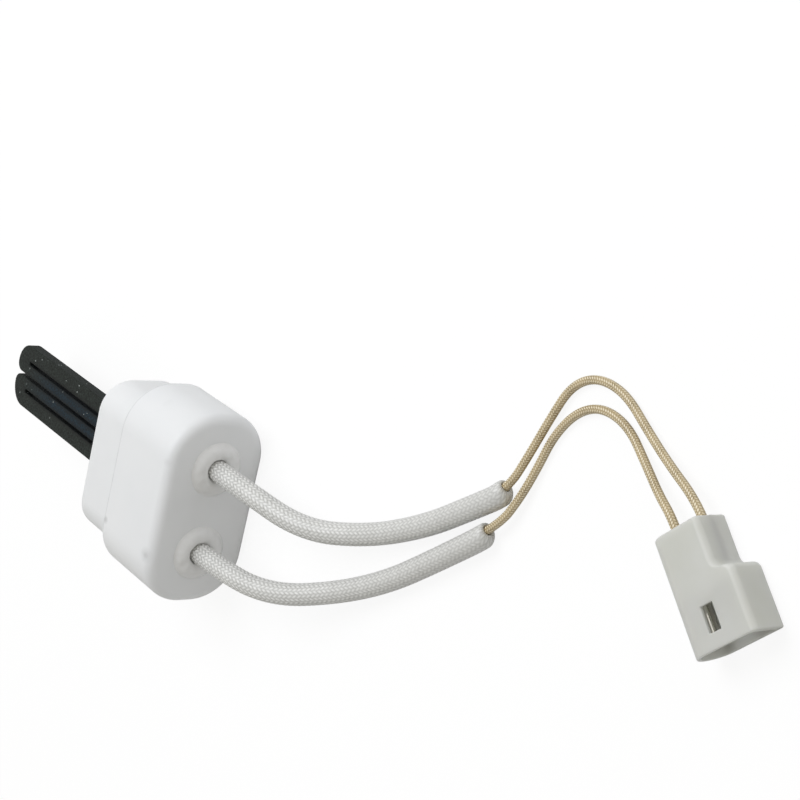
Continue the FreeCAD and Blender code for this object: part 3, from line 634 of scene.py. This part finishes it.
def carbide_material():
    """Gritty charcoal with painted glints, a blue middle and painted shade at the slot edges."""
    material, tree, shader = new_material("silicon carbide")
    place = add(tree, "ShaderNodeTexCoord")
    grit = add(tree, "ShaderNodeTexNoise", Vector=place.outputs["Object"], Scale=2100.0, Detail=4.0)
    crystals = add(tree, "ShaderNodeTexVoronoi", Vector=place.outputs["Object"], Scale=2600.0)
    parts = add(tree, "ShaderNodeSeparateXYZ", Vector=place.outputs["Object"])
    off_axis = add(tree, "ShaderNodeMath", operation="ABSOLUTE", i0=parts.outputs["Y"])
    inner = add(tree, "ShaderNodeMapRange", Value=off_axis.outputs[0], From_Min=BLUE_TO,
                From_Max=GREY_FROM, To_Min=1.0, To_Max=0.0)
    sharper = add(tree, "ShaderNodeMapRange", Value=grit.outputs["Fac"], From_Min=0.35,
                  From_Max=0.68)
    charcoal = add(tree, "ShaderNodeMix", data_type="RGBA", i0=sharper.outputs[0],
                   i6=colour("#070A09"), i7=colour("#2C3330"))
    blue = add(tree, "ShaderNodeMix", data_type="RGBA", i0=sharper.outputs[0],
               i6=colour("#050A0F"), i7=colour("#172C38"))
    from_tip = add(tree, "ShaderNodeMapRange", Value=parts.outputs["X"], From_Min=-0.046,
                   From_Max=-0.03)
    blued = add(tree, "ShaderNodeMath", operation="MULTIPLY", i0=inner.outputs[0],
                i1=from_tip.outputs[0])
    both = add(tree, "ShaderNodeMix", data_type="RGBA", i0=blued.outputs[0],
               i6=charcoal.outputs[2], i7=blue.outputs[2])
    # Painted highlights: a few crystal cells get a light grey that stands for glints.
    painted_glint = add(tree, "ShaderNodeMath", operation="GREATER_THAN", i0=crystals.outputs["Color"],
                i1=0.945)
    with_painted_glints = add(tree, "ShaderNodeMix", data_type="RGBA", i0=painted_glint.outputs[0], i6=both.outputs[2],
                   i7=colour("#949A98"))
    # Painted shade: the slot walls and the gap between the inner legs are darkened.
    from_slot = add(tree, "ShaderNodeMath", operation="SUBTRACT", i0=off_axis.outputs[0], i1=SLOT_Y)
    off_slot = add(tree, "ShaderNodeMath", operation="ABSOLUTE", i0=from_slot.outputs[0])
    to_gap = add(tree, "ShaderNodeMath", operation="MINIMUM", i0=off_slot.outputs[0],
                 i1=off_axis.outputs[0])
    painted_slot_shade = add(tree, "ShaderNodeMapRange", Value=to_gap.outputs[0], From_Min=0.0004,
                From_Max=0.0016, To_Min=0.9, To_Max=0.0)
    slotted = add(tree, "ShaderNodeMapRange", Value=parts.outputs["X"], From_Min=-0.047,
                  From_Max=-0.042)
    slot_shade_mask = add(tree, "ShaderNodeMath", operation="MULTIPLY", i0=painted_slot_shade.outputs[0],
                    i1=slotted.outputs[0])
    shaded = add(tree, "ShaderNodeMix", data_type="RGBA", i0=slot_shade_mask.outputs[0],
                 i6=with_painted_glints.outputs[2], i7=colour("#050708"))
    tree.links.new(shaded.outputs[2], shader.inputs["Base Color"])
    bump = add(tree, "ShaderNodeBump", Height=grit.outputs["Fac"], Strength=0.5, Distance=0.00006)
    tree.links.new(bump.outputs[0], shader.inputs["Normal"])
    shader.inputs["Roughness"].default_value = 0.6
    shader.inputs["Specular IOR Level"].default_value = 0.12
    return material


# %% [markdown]
# The plain solid already has the slab's outline and slots, so the element starts as
# a copy of it. Its flat sides are merged, and a bevel breaks the edges, because a
# sintered edge is never knife sharp.

# %% Element
def build_element():
    """The slab with its sharp edges broken by a small bevel."""
    bm = bmesh.new()
    bm.from_mesh(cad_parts["silicon_carbide_element"].data)
    bmesh.ops.remove_doubles(bm, verts=bm.verts, dist=0.000002)
    bmesh.ops.dissolve_limit(bm, angle_limit=math.radians(1), verts=bm.verts, edges=bm.edges)
    bmesh.ops.recalc_face_normals(bm, faces=bm.faces)
    slab = keep_mesh(bm, "carbide_element", carbide_material(), "silicon_carbide_element",
                     35)
    edge = slab.modifiers.new("broken edges", "BEVEL")
    edge.width = 0.25 * MM
    edge.segments = 3
    edge.limit_method = "ANGLE"
    edge.angle_limit = math.radians(40)
    edge.harden_normals = True


build_element()

# %% [markdown]
# ## Plug
# The housing is moulded in natural nylon, which is milky: light gets in, so the
# thin walls glow and a bore behind a thin wall shows as a soft dark stripe. That
# calls for subsurface scattering, with a little transmission. The contacts are
# turned brass with a bright tin plating.

# %% Nylon
def nylon_material():
    """Milky moulded nylon with a fine satin skin."""
    material, tree, shader = new_material("natural nylon")
    place = add(tree, "ShaderNodeTexCoord")
    clouds = add(tree, "ShaderNodeTexNoise", Vector=place.outputs["Object"], Scale=140.0, Detail=2.0)
    base = add(tree, "ShaderNodeMix", data_type="RGBA", i0=clouds.outputs["Fac"],
               i6=colour("#DFE0D7"), i7=colour("#E9EAE6"))
    tree.links.new(base.outputs[2], shader.inputs["Base Color"])
    fine = add(tree, "ShaderNodeTexNoise", Vector=place.outputs["Object"], Scale=2200.0)
    bump = add(tree, "ShaderNodeBump", Height=fine.outputs["Fac"], Strength=0.08, Distance=0.00003)
    tree.links.new(bump.outputs[0], shader.inputs["Normal"])
    shader.inputs["Roughness"].default_value = 0.38
    shader.inputs["IOR"].default_value = 1.53
    shader.inputs["Transmission Weight"].default_value = 0.1
    shader.inputs["Subsurface Weight"].default_value = 0.6
    shader.inputs["Subsurface Radius"].default_value = (1, 1, 0.95)
    shader.inputs["Subsurface Scale"].default_value = 0.003
    return material


nylon = nylon_material()
print("finish of the plug:", nylon.name)

# %% Metals
def metal_material(name, base_code, roughness):
    """Metal whose roughness varies a little, as after plating and handling."""
    material, tree, shader = new_material(name)
    place = add(tree, "ShaderNodeTexCoord")
    wear = add(tree, "ShaderNodeTexNoise", Vector=place.outputs["Object"], Scale=900.0, Detail=2.0)
    spread = add(tree, "ShaderNodeMapRange", Value=wear.outputs["Fac"], To_Min=roughness * 0.7,
                 To_Max=roughness * 1.4)
    tree.links.new(spread.outputs[0], shader.inputs["Roughness"])
    shader.inputs["Base Color"].default_value = colour(base_code)
    shader.inputs["Metallic"].default_value = 1.0
    return material


def finish_solid(node, finish):
    """Give a plain solid that keeps its shape its real finish."""
    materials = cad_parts[node].data.materials
    materials.clear()
    materials.append(finish)
    print(node, "is", finish.name)


tin = metal_material("bright tin plating", "#DDDBD5", 0.2)
nickel = metal_material("nickel strands", "#B5AFA4", 0.35)
for side in LEAD_BORE:
    for kind, finish in (("contact_pin", tin), ("strands_plug", nickel), ("strands_block", nickel),
                         ("end_cap", nickel), ("potting", rough_cement)):
        finish_solid(f"{kind}_{side}", finish)
finish_solid("front_cement", rough_cement)

# %% [markdown]
# ## Plug housing
# The housing has one half-round side and one flat side, which steps out to a wider
# shroud. One outline is extruded through a row of stations, and its flat side moves
# out along the way, so that the step gets the soft S of a moulded corner. A loft
# would do the same, but bmesh has none. Each station gives the place along the plug
# and that of the flat side, in millimetres.

# %% Plug housing
PLUG_TURN = Matrix.Rotation(-math.radians(43), 4, "Z")
PLUG_PLACE = Matrix.Translation(Vector((181.6, 53.6, 4.2)) * MM) @ PLUG_TURN
HALF_THICK, ROUND_SIDE, FLAT_SIDE = 4.2, (-7.8, 4.19), (5.3, 1.3)
MOUTH_FROM, MOUTH_HALF_THICK, MOUTH_SIDES = 12.8, 3.4, [(-7.0, 3.39), (7.4, 0.9)]
PIN_APART = 3.35
STATIONS = [(8.2, 5.3), (8.9, 5.42), (9.45, 5.75), (9.85, 6.3), (10.05, 6.95), (10.15, 7.6),
            (10.4, 8.25), (10.85, 8.75), (11.5, 9.05), (22.8, 9.1)]


def build_plug():
    """The housing with its mouth, window and bores."""
    bm = bmesh.new()
    face = outline_face(bm, 0, [ROUND_SIDE, FLAT_SIDE], HALF_THICK, 0)
    flat_at = FLAT_SIDE[0]
    for along, flat in STATIONS:
        face = extrude_to(bm, face, along * MM)
        for vert in face.verts:
            if vert.co.y > 0:
                vert.co.y += (flat - flat_at) * MM
        flat_at = flat
    bmesh.ops.recalc_face_normals(bm, faces=bm.faces)
    bmesh.ops.bevel(bm, geom=at_plane(bm.edges, 0), offset=1.0 * MM, offset_type="OFFSET",
                    segments=5, profile=0.5, affect="EDGES", material=-1, clamp_overlap=True)
    print("plug volume", round(bm.calc_volume() / MM ** 3), "cubic mm before the cuts")
    raw = loose_object("plug_raw", bm)
    mouth = bmesh.new()
    inner = outline_face(mouth, MOUTH_FROM * MM, MOUTH_SIDES, MOUTH_HALF_THICK, 0)
    extrude_to(mouth, inner, 24 * MM)
    bmesh.ops.recalc_face_normals(mouth, faces=mouth.faces)
    tools = [loose_object("mouth", mouth)]
    tools.append(box_cutter("window", (17.4, 0.65, HALF_THICK), (5, 2.9, 2.4)))
    tools += [round_cutter("bore", (5.9, y, 0), 1.45, 15) for y in (-PIN_APART, PIN_APART)]
    finished = cut_away(raw, tools)
    finished.transform(PLUG_PLACE)
    plug = keep_piece(finished, "nylon_plug", nylon, "plug_housing", 30)
    edge = plug.modifiers.new("moulded edges", "BEVEL")
    edge.width = 0.22 * MM
    edge.segments = 3
    edge.limit_method = "ANGLE"
    edge.angle_limit = math.radians(50)
    flat = plug.modifiers.new("flat sides", "WEIGHTED_NORMAL")
    flat.keep_sharp = True


build_plug()

# %% [markdown]
# Both leads end in the plug, and their lengths are printed once it is there.

# %% Lead lengths
for side, (lead, length, centres) in leads.items():
    print("lead", side, round(length / MM, 1), "mm")

# %% [markdown]
# ## Floor
# The igniter lies on a white floor. More light would bleach the white pieces, so a
# Light Path node makes the floor glow for the camera's own rays only: it shows
# white and still takes a faint shadow.

# %% Floor
FLOOR_GLOW, GLOW_SHARE = 1.08, 0.82


def build_floor():
    """A wide floor that shows white to the camera."""
    bm = bmesh.new()
    bmesh.ops.create_grid(bm, x_segments=1, y_segments=1, size=4)
    mesh = bpy.data.meshes.new("floor")
    bm.to_mesh(mesh)
    bm.free()
    floor = bpy.data.objects.new("floor", mesh)
    bpy.context.collection.objects.link(floor)
    material, tree, shader = new_material("white floor")
    shader.inputs["Base Color"].default_value = (0.8, 0.8, 0.8, 1)
    shader.inputs["Roughness"].default_value = 0.9
    rays = add(tree, "ShaderNodeLightPath")
    seen = add(tree, "ShaderNodeMath", operation="MAXIMUM", i0=rays.outputs["Is Camera Ray"],
               i1=rays.outputs["Is Transmission Ray"])
    glow = add(tree, "ShaderNodeEmission", Color=(1, 1, 1, 1), Strength=FLOOR_GLOW)
    share = add(tree, "ShaderNodeMath", operation="MULTIPLY", i0=seen.outputs[0], i1=GLOW_SHARE)
    mix = add(tree, "ShaderNodeMixShader", i0=share.outputs[0], i1=shader.outputs[0],
              i2=glow.outputs[0])
    tree.links.new(mix.outputs[0], tree.nodes["Material Output"].inputs["Surface"])
    mesh.materials.append(material)


build_floor()
print("floor glow", FLOOR_GLOW)

# %% [markdown]
# ## Light
# One broad soft lamp stands at the upper left of the picture and a weak one at the
# side. The white surround is dim as a light and bright in reflections, so the rear
# face falls into soft shade while the pins still mirror white.

# %% Light
AIM = Vector((90, 20, 8)) * MM
LAMPS = {"key": {"toward": (-0.25, 0.42, 0.87), "distance": 0.9, "size": 0.7, "energy": 4.6},
         "side": {"toward": (0.3, 0.95, 0.35), "distance": 1.0, "size": 0.5, "energy": 0.7}}
SURROUND_LIGHT, SURROUND_SEEN = 0.36, 1.0


def build_lights():
    """The surround and the lamps."""
    world = bpy.data.worlds.new("surround")
    world.use_nodes = True
    bpy.context.scene.world = world
    tree = world.node_tree
    rays = add(tree, "ShaderNodeLightPath")
    seen = add(tree, "ShaderNodeMath", operation="MAXIMUM", i0=rays.outputs["Is Camera Ray"],
               i1=rays.outputs["Is Glossy Ray"])
    strength = add(tree, "ShaderNodeMapRange", Value=seen.outputs[0], To_Min=SURROUND_LIGHT,
                   To_Max=SURROUND_SEEN)
    tree.links.new(strength.outputs[0], tree.nodes["Background"].inputs["Strength"])
    tree.nodes["Background"].inputs["Color"].default_value = colour("#FFFDF6")
    for name, values in LAMPS.items():
        lamp = bpy.data.objects.new(name, bpy.data.lights.new(name, "AREA"))
        lamp.data.shape = "DISK"
        lamp.data.size = values["size"]
        lamp.data.energy = values["energy"]
        lamp.data.color = colour("#F8FAFF")[:3]
        lamp.location = AIM + Vector(values["toward"]).normalized() * values["distance"]
        lamp.rotation_euler = (lamp.location - AIM).to_track_quat("Z", "Y").to_euler()
        bpy.context.collection.objects.link(lamp)
        print("lamp", name, values["energy"], "W")


build_lights()

# %% [markdown]
# ## Finish

# %% Finish
bpy.context.view_layer.update()
